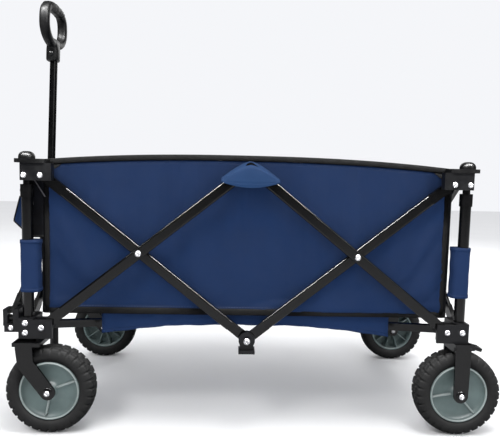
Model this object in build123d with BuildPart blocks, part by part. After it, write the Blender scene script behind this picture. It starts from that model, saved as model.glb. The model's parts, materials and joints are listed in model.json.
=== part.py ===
"""Folding camp wagon: a scissor-folding frame on four wheels, a cloth tub and a pull handle.

Millimetres, +Z up, ground at Z = 0. -X is the front (handle and swivel casters), -Y the near side.
The long sides are double scissors and the ends single ones. Every scissor bar stands at the same
angle, so the whole frame folds as one linkage.
"""
import os
from math import cos, radians, sin

from build123d import *

os.makedirs("parts", exist_ok=True)

# ---- driving dimensions -------------------------------------------------
scissor_angle = 38.6       # slope of every scissor bar with the wagon open
cell_length = 418.0        # corner pivot to middle pivot, along X
cross_fraction = 0.462     # where a long bar is crossed, from its corner end
pivot_offset = 32.0        # corner pivot from the post axis, along X and along Y
lower_pivot_z = 222.0
frame_shift = -21.5        # moves the finished parts along X, to centre them end to end

bar_height = 22.0
bar_thickness = 10.0
bar_round = 4.0
eye_radius = 10.5
eye_thickness = 4.8        # two flattened eyes share one bar's thickness
eye_length = 46.0
pin_radius = 4.0
pin_play = 0.05            # radial clearance of a pin in its hole
pin_proud = 0.5            # how far a pin stands out of the bar it holds
washer_radius = 8.0
through_cut = 600.0        # longer than anything that a hole is cut through
face_gap = 0.6             # between a bar and the plate beside it

side_inner = 216.0         # inner face of the inner long bars, from the centre plane
side_outer = 230.0         # inner face of the outer long bars
end_inner = 438.0          # the same for the end bars, along X
end_outer = 452.0

post_radius = 11.0
post_bore = 8.5
post_bottom_z = 228.0
post_top_z = 486.0
ferrule_radius = 13.0
ferrule_top_z = 512.0
inner_post_radius = 7.5
inner_post_bottom_z = 258.0

upper_bracket_z = (520.0, 555.0)
upper_end_arm_top_z = 545.0
lower_bracket_z = (200.0, 241.0)
lower_arm_top_z = 239.0
ear_z = (211.0, 228.0)
knuckle_z = (224.0, 258.0)
lid_x = (407.0, 469.0)
lid_y = (210.0, 247.0)
lid_top_z = 563.0
upper_bracket_x = (434.0, 459.0)
upper_inner_y = 213.0      # inner faces of the brackets
lower_inner_y = 207.0
end_arm_margin = 12.0      # end arm past its pivot, and short of the post axis
inner_arm_x = (404.0, 436.0)
inner_arm_y = 219.0
strut_ear = (40.0, 14.0)
strut_ear_thickness = 5.0
knuckle_back_x = 465.0
knuckle_back_y = (202.0, 239.0)
knuckle_front_y = 212.0
lower_bracket_x = (434.0, 463.0)
bracket_arm_x = (396.0, 436.0)   # the plate that holds a long bar
ear_x = (461.0, 494.0)
ear_y = (221.0, 239.0)
upper_face_y = 244.0
lower_face_y = 246.0
dome_radius = 16.0
dome_top_z = 578.0

hub_plate = 6.0            # how far the hub reaches past a bar's faces
hub_radii = (15.0, 17.0)   # inner and outer plate
hub_web_half = 14.0
hub_web_z = (174.0, 187.0)
foot_plate_half = 17.0
foot_plate_y = 240.0
foot_plate_z = (170.0, 177.0)

tub_half_length = 430.0
tub_half_width = 207.0
tub_bottom_z = 246.0
tub_top_z = 568.0
tub_wall = 3.0
tub_floor = 6.0
tub_corner = 10.0

wheel_radius = 90.0
tyre_width = 45.0
tyre_side = (70.0, 80.0)   # radii between which a tyre is widest
tread_edge = (8.0, 1.5)    # the tread's edge: in from the side, and below the crown
rim_radius = 62.0
rim_width = 38.0
wheel_hub_width = 47.0
wheel_hub_radius = 13.0
rim_wall = 6.0
rib_centre = 33.0          # middle of a rib, from the axle
rib_length = 54.0
front_rib = (9.0, 11.0)    # thickness, and height off the disc
back_rib = (3.0, 18.0)
axle_radius = 5.0
caster_trail = 47.0
fork_inside = 25.0         # wheel centre plane to the inside of a fork leg
fork_leg = 5.0
leg_knee = (3.0, 150.0)     # where a caster leg bends: past the kingpin, and above ground
leg_radii = (17.0, 16.0, 15.0)   # a leg's half width at its top, knee and axle
crown_width = 36.0
crown_z = (182.0, 194.0)
crown_plate_x = (-22.0, 34.0)
crown_plate = 8.0
kingpin_radius = 6.0
kingpin_length = 29.0
bearing_radius = 14.0
bearing_height = 5.0
pedal_pivot = (24.0, 189.0)      # past the rear post axis, and above ground
pedal_pin_radius = 2.5
pedal_lug = (16.0, 12.0)
pedal_lug_y = (17.0, 3.0)        # outer face, and thickness
pedal_width = 27.0
pedal_pad = (22.0, 7.0)
pedal_slope = -14.0

strut_length = 355.0
strut_droop = 4.7
strut_width = 14.0
strut_height = 16.0
strut_pivot_z = 216.0

link_pivot_z = 240.0
link_outset = 2.0          # the handle link's pivot from the post axis, along Y
link_x = (477.0, 487.0)
handle_pivot_x = 486.0
handle_lean = 1.9
yoke_back = (467.0, 476.4)
yoke_front = (487.6, 496.0)
yoke_half_width = 42.0
yoke_cheek = (12.5, 17.0)  # also the half gap that the pole swings through
yoke_rise = 13.0           # half height of the yoke's plates
yoke_floor = (22.0, 13.5)  # the plate below the pole, down from the pivots
stay_x = 477.0
stay_radius = 10.0
stay_foot_z = 100.0
sleeve_length = 156.0
sleeve_radius = 11.0
boss_half = 11.7           # half width of the eye that the pole swings on
pole_radius = 8.75
pole_start = 22.0
pole_end = 428.0
grip_top_z = 935.0
grip_size = (140.0, 103.0)
grip_hole = (98.0, 61.0)
grip_depth = 22.0
grip_corners = (50.0, 29.0)      # outside and inside
socket_z = (28.0, 12.0)    # the grip's socket: below the ring, and into it
socket_radius = 15.0
pole_in_grip = 24.0

# ---- worked out from them -----------------------------------------------
slope = radians(scissor_angle)
long_bar = cell_length / cos(slope)
end_bar = 2 * cross_fraction * long_bar
end_span = end_bar * cos(slope)
post_x = cell_length + pivot_offset
post_y = end_span / 2 + pivot_offset
upper_pivot_z = lower_pivot_z + end_bar * sin(slope)
middle_top_z = lower_pivot_z + long_bar * sin(slope)
middle_low_z = upper_pivot_z - long_bar * sin(slope)
pivot_y = post_y - pivot_offset
hole_radius = pin_radius + pin_play
wheel_y = post_y

SIDES = {"near": -1, "far": 1}
ENDS = {"front": -1, "rear": 1}


def write(part, label):
    """Label one finished piece, centre it with the others and write it to its own STEP file."""
    placed = Pos(frame_shift, 0, 0) * part
    placed.label = label
    export_step(placed, f"parts/{label}.step")


def block(x, y, z, sx=1, sy=1):
    """Add a box given by its |x|, |y| and z ranges, in the quarter that sx and sy name."""
    centre = (sx * (x[0] + x[1]) / 2, sy * (y[0] + y[1]) / 2, (z[0] + z[1]) / 2)
    with Locations(centre):
        Box(x[1] - x[0], y[1] - y[0], z[1] - z[0])


def rod(start, end, radius, mode=Mode.ADD):
    """Add or cut a round rod between two points."""
    axis = Vector(*end) - Vector(*start)
    with BuildSketch(Plane(origin=start, z_dir=axis)) as profile:
        Circle(radius)
    extrude(profile.sketch, amount=axis.length, mode=mode)


def flat_bar(start, end, outward, layer, eyes, holes, pins):
    """Add a scissor bar: an oval tube between two pivots, flattened to an eye at each end.

    start and end lie in the centre plane, and layer and eyes are distances along outward.
    holes lists distances along the bar. pins lists (distance, from, to, radius) along outward.
    """
    run = Vector(*end) - Vector(*start)
    along = run.normalized()
    out = Vector(*outward)
    length = run.length
    side = Plane(origin=start, x_dir=along, z_dir=out)
    middle = (layer[0] + layer[1]) / 2
    thick = layer[1] - layer[0]
    with BuildSketch(Plane(origin=Vector(*start) + along * eye_length + out * middle,
                           x_dir=out, z_dir=along)) as section:
        RectangleRounded(thick, bar_height, bar_round)
    extrude(section.sketch, amount=length - 2 * eye_length)
    for (low, high), centre, inner in ((eyes[0], 0, 1), (eyes[1], length, -1)):
        with BuildSketch(side.offset(low)) as eye:
            with Locations((centre, 0)):
                Circle(eye_radius)
            with Locations((centre + inner * (eye_length + 6) / 2, 0)):
                Rectangle(eye_length + 6, bar_height - 1)
        extrude(eye.sketch, amount=high - low)
    for distance, low, high, radius in pins:
        foot = Vector(*start) + along * distance
        rod(foot + out * low, foot + out * high, radius)
    for distance in holes:
        foot = Vector(*start) + along * distance
        rod(foot, foot + out * through_cut, hole_radius, Mode.SUBTRACT)


def side_bars(side, end):
    """The two long bars of one half of one long side."""
    sy, sx = SIDES[side], ENDS[end]
    out = (0, sy, 0)
    corner_x = sx * cell_length
    inner = (side_inner, side_inner + bar_thickness)
    outer = (side_outer, side_outer + bar_thickness)
    cross = cross_fraction * long_bar
    if end == "front":
        low_eye = (inner[0], inner[0] + eye_thickness)
        top_eye = (outer[0], outer[0] + eye_thickness)
    else:
        low_eye = (inner[1] - eye_thickness, inner[1])
        top_eye = (outer[1] - eye_thickness, outer[1])
    with BuildPart() as down_bar:
        flat_bar((corner_x, 0, upper_pivot_z), (0, 0, middle_low_z), out, inner,
                 (inner, low_eye), (0, cross, long_bar), ())
    write(down_bar.part, f"down_bar_{side}_{end}")
    pins = [(cross, inner[0] - pin_proud, outer[0] + 1, pin_radius),
            (cross, inner[1] + 0.4, outer[0] + 1, washer_radius)]
    if end == "front":
        pins.append((long_bar, top_eye[0] + 1, outer[1] + 2, pin_radius))
        holes = (0,)
    else:
        holes = (0, long_bar)
    with BuildPart() as up_bar:
        flat_bar((corner_x, 0, lower_pivot_z), (0, 0, middle_top_z), out, outer,
                 (outer, top_eye), holes, pins)
    write(up_bar.part, f"up_bar_{side}_{end}")


def end_bars(end):
    """The two crossed bars of one end."""
    out = (ENDS[end], 0, 0)
    inner = (end_inner, end_inner + bar_thickness)
    outer = (end_outer, end_outer + bar_thickness)
    middle = end_bar / 2
    with BuildPart() as inner_bar:
        flat_bar((0, -pivot_y, upper_pivot_z), (0, pivot_y, lower_pivot_z), out, inner,
                 (inner, inner), (0, middle, end_bar), ())
    write(inner_bar.part, f"end_bar_inner_{end}")
    pins = ((middle, inner[0] - pin_proud, outer[0] + 1, pin_radius),
            (middle, inner[1] + 0.4, outer[0] + 1, washer_radius))
    with BuildPart() as outer_bar:
        flat_bar((0, -pivot_y, lower_pivot_z), (0, pivot_y, upper_pivot_z), out, outer,
                 (outer, outer), (0, end_bar), pins)
    write(outer_bar.part, f"end_bar_outer_{end}")


def end_arm(sx, sy, z, pivot_z, holds_inner):
    """Add the plate and pin that carry an end bar, on the free side of the bar."""
    if holds_inner:
        plate = (end_inner + bar_thickness + face_gap, end_outer + bar_thickness)
        tip = end_inner - pin_proud
        root = plate[0] + 1
    else:
        plate = (end_inner, end_outer - face_gap)
        tip = end_outer + bar_thickness + pin_proud
        root = plate[1] - 1
    block(plate, (pivot_y - end_arm_margin, post_y - end_arm_margin), z, sx, sy)
    rod((sx * root, sy * pivot_y, pivot_z), (sx * tip, sy * pivot_y, pivot_z), pin_radius)


def upper_corner(side, end):
    """Upper corner: moulded bracket, inner post tube, and the lid with its domed knob."""
    sy, sx = SIDES[side], ENDS[end]
    low, high = upper_bracket_z
    px, py = sx * post_x, sy * post_y
    arm_low = side_inner + bar_thickness + face_gap
    with BuildPart() as bracket:
        block(upper_bracket_x, (upper_inner_y, upper_face_y), (low, high), sx, sy)
        block(bracket_arm_x, (arm_low, upper_face_y), (low, high), sx, sy)
        end_arm(sx, sy, (low, upper_end_arm_top_z), upper_pivot_z, side == "near")
        fillet(bracket.edges().filter_by(Axis.Z).sort_by(Axis((0, 0, 0), (sx, sy, 0)))[-1], 6)
        rod((sx * cell_length, sy * (arm_low + 1), upper_pivot_z),
            (sx * cell_length, sy * (side_inner - pin_proud), upper_pivot_z), pin_radius)
        rod((px, py, low - 1), (px, py, high + 1), inner_post_radius, Mode.SUBTRACT)
    write(bracket.part, f"upper_bracket_{side}_{end}")
    with BuildPart() as tube:
        with BuildSketch(Plane.XY.offset(inner_post_bottom_z)):
            with Locations((px, py)):
                Circle(inner_post_radius)
                Circle(inner_post_radius - 1.5, mode=Mode.SUBTRACT)
        extrude(amount=high - inner_post_bottom_z)
    write(tube.part, f"inner_post_{side}_{end}")
    with BuildPart() as cap:
        block(lid_x, lid_y, (high, lid_top_z), sx, sy)
        fillet(cap.edges().filter_by(Axis.Z), 8)
        rod((px, py, lid_top_z - 1), (px, py, dome_top_z), dome_radius)
        fillet(cap.edges().group_by(Axis.Z)[-1], dome_radius - 4)
    write(cap.part, f"post_cap_{side}_{end}")


def lower_corner(side, end):
    """Lower corner: moulded bracket and the outer post tube with its ferrule."""
    sy, sx = SIDES[side], ENDS[end]
    low, high = lower_bracket_z
    px, py = sx * post_x, sy * post_y
    inner_plate = (inner_arm_y, side_outer - face_gap)
    outer_plate = (side_outer + bar_thickness + face_gap, lower_face_y)
    centre_ward = Vector(-sx * cell_length, -sy * pivot_y, 0).normalized()
    across = Vector(-sx * pivot_y, sy * cell_length, 0).normalized()
    strut_pivot = Vector(sx * cell_length, sy * pivot_y, strut_pivot_z)
    cheek = strut_width / 2 + 0.4
    with BuildPart() as bracket:
        block(lower_bracket_x, (lower_inner_y, lower_face_y), (low, high), sx, sy)
        block(inner_arm_x, inner_plate, (low, lower_arm_top_z), sx, sy)
        block(bracket_arm_x, outer_plate, (low, lower_arm_top_z), sx, sy)
        end_arm(sx, sy, (low, lower_arm_top_z), lower_pivot_z, side == "far")
        rod((sx * cell_length, sy * (inner_plate[1] - 1), lower_pivot_z),
            (sx * cell_length, sy * (outer_plate[0] + 1), lower_pivot_z), pin_radius)
        with BuildSketch(Plane(origin=strut_pivot + across * cheek, x_dir=centre_ward, z_dir=across)):
            with Locations((strut_ear[1] / 2 + 2 - strut_ear[0] / 2, 0)):
                RectangleRounded(*strut_ear, 5)
        extrude(amount=strut_ear_thickness)
        rod(strut_pivot + across * (cheek + 1), strut_pivot - across * 7, pin_radius)
        if end == "front":
            block(ear_x, ear_y, ear_z, sx, sy)
            block((link_x[1] + face_gap, ear_x[1] + 2), (knuckle_front_y, ear_y[1]), knuckle_z, sx, sy)
            block((knuckle_back_x, link_x[0] - face_gap), knuckle_back_y, knuckle_z, sx, sy)
            pivot = (sx * (link_x[0] - 2), sy * (post_y - link_outset), link_pivot_z)
            rod(pivot, (sx * (link_x[1] + 1), pivot[1], pivot[2]), pin_radius)
            rod((px, py, low), (px, py, crown_z[1] + kingpin_length + 1), kingpin_radius + pin_play,
                Mode.SUBTRACT)
        rod((px, py, post_bottom_z), (px, py, high + 1), post_radius, Mode.SUBTRACT)
    write(bracket.part, f"lower_bracket_{side}_{end}")
    with BuildPart() as tube:
        with BuildSketch(Plane.XY.offset(post_bottom_z)):
            with Locations((px, py)):
                Circle(post_radius)
        extrude(amount=post_top_z - post_bottom_z)
        with BuildSketch(Plane.XY.offset(post_top_z)):
            with Locations((px, py)):
                Circle(ferrule_radius)
        extrude(amount=ferrule_top_z - post_top_z)
        rod((px, py, post_bottom_z + 16), (px, py, ferrule_top_z), post_bore, Mode.SUBTRACT)
    write(tube.part, f"outer_post_{side}_{end}")


def floor_strut(side, end):
    """Floor strut: hinged in the lower corner, running in towards the middle of the floor."""
    sy, sx = SIDES[side], ENDS[end]
    droop = radians(strut_droop)
    flat = Vector(-sx * cell_length, -sy * pivot_y, 0).normalized()
    along = flat * cos(droop) + Vector(0, 0, -sin(droop))
    across = Vector(-sx * pivot_y, sy * cell_length, 0).normalized()
    pivot = Vector(sx * cell_length, sy * pivot_y, strut_pivot_z)
    with BuildPart() as strut:
        with BuildSketch(Plane(origin=pivot - across * (strut_width / 2), x_dir=along, z_dir=across)):
            with Locations((strut_length / 2, 0)):
                SlotCenterToCenter(strut_length - strut_height, strut_height)
            with Locations((0, 0)):
                Circle(strut_height / 2)
            with Locations((strut_length / 4, 0)):
                Rectangle(strut_length / 2, strut_height)
        extrude(amount=strut_width)
        rod(pivot - across * 20, pivot + across * 20, hole_radius, Mode.SUBTRACT)
    write(strut.part, f"floor_strut_{side}_{end}")


def middle_hub(side):
    """Hub at the low middle of one long side: two plates, the pivot pin and a foot plate."""
    sy = SIDES[side]
    inner_plate = (side_inner - hub_plate, side_inner - face_gap)
    outer_plate = (side_inner + bar_thickness + face_gap, side_inner + bar_thickness + hub_plate + 1)
    with BuildPart() as hub:
        rod((0, sy * inner_plate[0], middle_low_z), (0, sy * inner_plate[1], middle_low_z), hub_radii[0])
        rod((0, sy * outer_plate[0], middle_low_z), (0, sy * outer_plate[1], middle_low_z), hub_radii[1])
        rod((0, sy * inner_plate[0], middle_low_z), (0, sy * (outer_plate[1] + 4), middle_low_z), pin_radius)
        for plate in (inner_plate, outer_plate):
            block((-hub_web_half, hub_web_half), plate, hub_web_z, 1, sy)
        block((-foot_plate_half, foot_plate_half), (inner_plate[0], foot_plate_y), foot_plate_z, 1, sy)
    write(hub.part, f"middle_hub_{side}")


def fork(side, end):
    """Wheel fork: a swivel caster with trail at the front, a fixed fork at the rear."""
    sy, sx = SIDES[side], ENDS[end]
    px, py = sx * post_x, sy * wheel_y
    axle_x = px + caster_trail if end == "front" else px
    top = crown_z[1] if end == "front" else lower_bracket_z[0]
    leg_out = fork_inside + fork_leg
    knee = (px + (leg_knee[0] if end == "front" else 0), leg_knee[1])
    stations = tuple(zip(((px, crown_z[0] + 1), knee, (axle_x, wheel_radius)), leg_radii))
    with BuildPart() as wheel_fork:
        with Locations((px, py, (crown_z[0] + top) / 2)):
            Box(crown_width, 2 * leg_out, top - crown_z[0])
        fillet(wheel_fork.edges().filter_by(Axis.Z), 6)
        for low in (-leg_out, fork_inside):
            for (upper, wide), (lower, narrow) in zip(stations, stations[1:]):
                with BuildSketch(Plane.XZ.offset(-(py + low + fork_leg))):
                    with Locations(upper):
                        Circle(wide)
                    with Locations(lower):
                        Circle(narrow)
                    make_hull()
                extrude(amount=fork_leg)
        rod((px, py, crown_z[1]), (px, py, crown_z[1] + crown_width), 2 * crown_width, Mode.SUBTRACT)
        if end == "rear":
            with Locations((px, py, (crown_z[1] + top) / 2)):
                Box(crown_width, 2 * leg_out, top - crown_z[1])
            lug_out, lug = pedal_lug_y
            pin_x, pin_z = px + pedal_pivot[0], pedal_pivot[1]
            for low in (-lug_out, lug_out - lug):
                with BuildSketch(Plane.XZ.offset(-(py + low + lug))):
                    with Locations((pin_x - 2, pin_z)):
                        Rectangle(*pedal_lug)
                extrude(amount=lug)
            rod((pin_x, py - lug_out, pin_z), (pin_x, py + lug_out, pin_z), pedal_pin_radius)
        else:
            plate_x = (px + crown_plate_x[0], px + crown_plate_x[1])
            block(plate_x, (py - leg_out - 2, py + leg_out + 2), (crown_z[1] - crown_plate, crown_z[1]))
            rod((px, py, crown_z[1] - 1), (px, py, crown_z[1] + bearing_height), bearing_radius)
            rod((px, py, crown_z[1]), (px, py, crown_z[1] + kingpin_length), kingpin_radius)
        rod((axle_x, py - leg_out - 4, wheel_radius), (axle_x, py + leg_out + 4, wheel_radius), axle_radius)
    write(wheel_fork.part, f"fork_{side}_{end}")


def wheel(side, end):
    """Wheel: a rubber tyre on a ribbed moulded rim, turning on the fork's axle."""
    sy, sx = SIDES[side], ENDS[end]
    x = sx * post_x + (caster_trail if end == "front" else 0)
    y = sy * wheel_y
    spin = Axis((x, y, wheel_radius), (0, 1, 0))
    outside = Plane(origin=(x, y, wheel_radius), x_dir=(1, 0, 0), z_dir=(0, sy, 0))
    half = tyre_width / 2
    seat, wide_low, wide_high = (wheel_radius + reach for reach in (rim_radius, *tyre_side))
    tread_y, tread_z = half - tread_edge[0], 2 * wheel_radius - tread_edge[1]
    with BuildPart() as tyre:
        with BuildSketch(Plane.YZ.offset(x)):
            with BuildLine():
                Polyline((y - half + 4, seat), (y - half, wide_low), (y - half, wide_high),
                         (y - tread_y, tread_z))
                ThreePointArc((y - tread_y, tread_z), (y, 2 * wheel_radius), (y + tread_y, tread_z))
                Polyline((y + tread_y, tread_z), (y + half, wide_high), (y + half, wide_low),
                         (y + half - 4, seat), (y - half + 4, seat))
            make_face()
        revolve(axis=spin)
    write(tyre.part, f"tyre_{side}_{end}")
    with BuildPart() as rim:
        with BuildSketch(outside.offset(-rim_width / 2)):
            Circle(rim_radius)
            Circle(rim_radius - rim_wall, mode=Mode.SUBTRACT)
        extrude(amount=rim_width)
        with BuildSketch(outside.offset(2)):
            Circle(rim_radius - rim_wall / 2)
        extrude(amount=5)
        with BuildSketch(outside.offset(-wheel_hub_width / 2)):
            Circle(wheel_hub_radius)
        extrude(amount=wheel_hub_width)
        with BuildSketch(outside.offset(5)):
            with PolarLocations(rib_centre, 3, start_angle=20):
                Rectangle(rib_length, front_rib[0])
        extrude(amount=front_rib[1])
        with BuildSketch(outside.offset(4 - back_rib[1])):
            with PolarLocations(rib_centre, 10):
                Rectangle(rib_length, back_rib[0])
        extrude(amount=back_rib[1])
        rod((x, y - tyre_width, wheel_radius), (x, y + tyre_width, wheel_radius), axle_radius + pin_play,
            Mode.SUBTRACT)
    write(rim.part, f"rim_{side}_{end}")


def brake_pedal(side):
    """Foot brake on a rear fork: a small lever on a cross pin."""
    x, z = post_x + pedal_pivot[0], pedal_pivot[1]
    y = SIDES[side] * wheel_y
    with BuildPart() as pedal:
        with BuildSketch(Plane.XZ.offset(-(y + pedal_width / 2))):
            with Locations((x, z)):
                Circle(6)
            with Locations((x + 12, z - 3)):
                Rectangle(*pedal_pad, rotation=pedal_slope)
        extrude(amount=pedal_width)
        rod((x, y - pedal_width, z), (x, y + pedal_width, z), pedal_pin_radius + pin_play, Mode.SUBTRACT)
    write(pedal.part, f"brake_pedal_{side}")


def tub():
    """Cloth tub: four walls and a floor, open at the top."""
    with BuildPart() as cloth:
        with BuildSketch(Plane.XY.offset(tub_bottom_z)):
            RectangleRounded(2 * tub_half_length, 2 * tub_half_width, tub_corner)
        extrude(amount=tub_top_z - tub_bottom_z)
        with BuildSketch(Plane.XY.offset(tub_bottom_z + tub_floor)):
            RectangleRounded(2 * (tub_half_length - tub_wall), 2 * (tub_half_width - tub_wall),
                             tub_corner - tub_wall)
        extrude(amount=tub_top_z, mode=Mode.SUBTRACT)
    write(cloth.part, "tub")


def handle_links():
    """The two links that carry the handle yoke between the front corners."""
    layer = link_x
    reach = post_y - link_outset
    for side, sy in SIDES.items():
        foot = (0, sy * reach, link_pivot_z)
        head = (0, sy * (reach - end_span / 2), link_pivot_z + end_bar / 2 * sin(slope))
        with BuildPart() as link:
            flat_bar(foot, head, (-1, 0, 0), layer, (layer, layer), (0, end_bar / 2), ())
        write(link.part, f"handle_link_{side}")


def handle():
    """Yoke, telescoping pole and ring grip, in the middle plane."""
    yoke_z = link_pivot_z + end_bar / 2 * sin(slope)
    yoke_y = post_y - link_outset - end_span / 2
    plate_z = (yoke_z - yoke_rise, yoke_z + yoke_rise)
    with BuildPart() as yoke:
        for sy in SIDES.values():
            for plate in (yoke_back, yoke_front):
                block(plate, (yoke_cheek[0], yoke_half_width), plate_z, -1, sy)
            fillet(yoke.edges().filter_by(Axis.X).group_by(Axis.Y)[-1 if sy > 0 else 0], 8)
            block((yoke_back[0], yoke_front[1]), yoke_cheek, (plate_z[0] - 3, plate_z[1]), -1, sy)
            rod((-yoke_back[0] - 1, sy * yoke_y, yoke_z), (-yoke_front[1] + 1, sy * yoke_y, yoke_z),
                pin_radius)
        rod((-handle_pivot_x, -yoke_cheek[1] + 1, yoke_z), (-handle_pivot_x, yoke_cheek[1] - 1, yoke_z),
            pin_radius)
        block((yoke_back[0], yoke_front[1]), (-yoke_cheek[1], yoke_cheek[1]),
              (yoke_z - yoke_floor[0], yoke_z - yoke_floor[1]), -1)
        rod((-stay_x, 0, yoke_z - yoke_floor[1] - 1.5), (-stay_x, 0, stay_foot_z), stay_radius)
    write(yoke.part, "handle_yoke")

    lean = radians(handle_lean)
    pivot = Vector(-handle_pivot_x, 0, yoke_z)
    up = Vector(sin(lean), 0, cos(lean))
    front = Vector(-cos(lean), 0, sin(lean))
    with BuildPart() as sleeve:
        rod(pivot + up * 8, pivot + up * sleeve_length, sleeve_radius)
        rod(pivot - Vector(0, boss_half, 0), pivot + Vector(0, boss_half, 0), sleeve_radius)
        rod(pivot + up * (pole_start - 2), pivot + up * (sleeve_length + 1), pole_radius + 0.4, Mode.SUBTRACT)
        side = Vector(0, yoke_cheek[1], 0)
        rod(pivot - side, pivot + side, hole_radius, Mode.SUBTRACT)
    write(sleeve.part, "handle_sleeve")
    with BuildPart() as pole:
        rod(pivot + up * pole_start, pivot + up * (pole_end + pole_in_grip), pole_radius)
    write(pole.part, "handle_pole")

    ring = pivot + up * ((grip_top_z - yoke_z) / cos(lean) - grip_size[1] / 2)
    ring_plane = Plane(origin=ring, x_dir=(0, 1, 0), z_dir=front)
    with BuildPart() as grip:
        with BuildSketch(ring_plane.offset(-grip_depth / 2)):
            RectangleRounded(*grip_size, grip_corners[0])
            RectangleRounded(*grip_hole, grip_corners[1], mode=Mode.SUBTRACT)
        extrude(amount=grip_depth)
        fillet(grip.edges(), 8)
        rod(ring - up * (grip_size[1] / 2 + socket_z[0]), ring - up * (grip_size[1] / 2 - socket_z[1]),
            socket_radius)
        rod(pivot + up * pole_start, pivot + up * (pole_end + pole_in_grip), pole_radius, Mode.SUBTRACT)
    write(grip.part, "handle_grip")


tub()
for side_name in SIDES:
    middle_hub(side_name)
    for end_name in ENDS:
        side_bars(side_name, end_name)
        upper_corner(side_name, end_name)
        lower_corner(side_name, end_name)
        floor_strut(side_name, end_name)
        fork(side_name, end_name)
        wheel(side_name, end_name)
    brake_pedal(side_name)
for end_name in ENDS:
    end_bars(end_name)
handle_links()
handle()
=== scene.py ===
import json
from math import cos, pi, radians, sin

import bmesh
import bpy
import numpy as np
from mathutils import Matrix, Vector


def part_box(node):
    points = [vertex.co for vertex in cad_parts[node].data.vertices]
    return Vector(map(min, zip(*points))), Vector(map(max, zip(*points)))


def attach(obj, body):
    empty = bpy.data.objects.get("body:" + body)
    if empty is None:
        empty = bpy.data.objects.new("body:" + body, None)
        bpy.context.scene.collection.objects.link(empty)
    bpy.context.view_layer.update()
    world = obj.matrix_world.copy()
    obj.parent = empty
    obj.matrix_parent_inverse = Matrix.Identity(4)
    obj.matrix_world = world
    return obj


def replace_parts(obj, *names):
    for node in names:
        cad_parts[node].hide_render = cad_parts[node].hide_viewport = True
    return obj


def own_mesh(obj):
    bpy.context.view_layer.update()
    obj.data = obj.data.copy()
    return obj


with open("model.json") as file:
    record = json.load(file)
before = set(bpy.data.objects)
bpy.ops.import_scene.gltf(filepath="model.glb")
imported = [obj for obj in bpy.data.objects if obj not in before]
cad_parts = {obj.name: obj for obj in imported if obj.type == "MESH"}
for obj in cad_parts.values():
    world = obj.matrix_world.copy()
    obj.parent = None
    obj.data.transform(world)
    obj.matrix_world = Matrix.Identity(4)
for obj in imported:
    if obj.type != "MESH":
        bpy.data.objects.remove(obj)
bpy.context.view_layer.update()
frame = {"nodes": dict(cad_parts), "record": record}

JOINTS = {j["name"]: j for j in frame["record"]["behaviour"]["joints"]}
SIDES = {"near": -1, "far": 1}
ENDS = {"front": -1, "rear": 1}


def joint_at(name):
    """Where a joint turns, in the row frame."""
    return Vector(JOINTS[name]["pos_m"])


# ---- places, from the frame ---------------------------------------------
TUB_LOW, TUB_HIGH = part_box("tub")
MID_X = (TUB_LOW.x + TUB_HIGH.x) / 2
HALF_LENGTH = (TUB_HIGH.x - TUB_LOW.x) / 2
HALF_WIDTH = (TUB_HIGH.y - TUB_LOW.y) / 2
FLOOR_Z = TUB_LOW.z
RIM_Z = TUB_HIGH.z
CORNER = 0.010             # radius of the tub's upright corners
PIVOT_X = joint_at("upper_near_rear").x - MID_X
PIVOT_Z = joint_at("upper_near_rear").z
LOW_PIVOT_Z = joint_at("lower_near_rear").z
POST_Y = joint_at("wheel_far_rear_spin").y
POST_X = joint_at("wheel_far_rear_spin").x - MID_X
CLOTH = 0.0016             # thickness of the cloth
SLEEVE_REACH = {"front": 0.027, "rear": 0.025}   # post sleeve, from the post towards the tub
SLEEVE_BACK = 0.0130       # post sleeve, from the post away from the tub
RIM_DROP = 0.010           # the rim binding's middle, below the tub's top
BASE_LIFT = 0.004          # the bottom band's middle, above the tub's floor
SEAM_DROP = 0.0095         # the stitches, below the rim binding's middle
SEAM_LIFT = 0.014          # the stitches, above the tub's floor
RIM_BAND = (0.012, 0.0075)       # width and thickness of each binding
LOW_BAND = (0.014, 0.0046)
UPRIGHT_BAND = (0.010, 0.0042)
PEAK_LOW, PEAK_HIGH = 0.5285, 0.5680     # lower edge and top of the cap over the high pivot
GRIP_WIDTH, GRIP_HEIGHT = 0.140, 0.103
SMALL_BOLT, MIDDLE_BOLT, CROSS_BOLT, HUB_BOLT, EAR_BOLT = 0.0058, 0.0062, 0.0066, 0.0070, 0.0055


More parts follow.
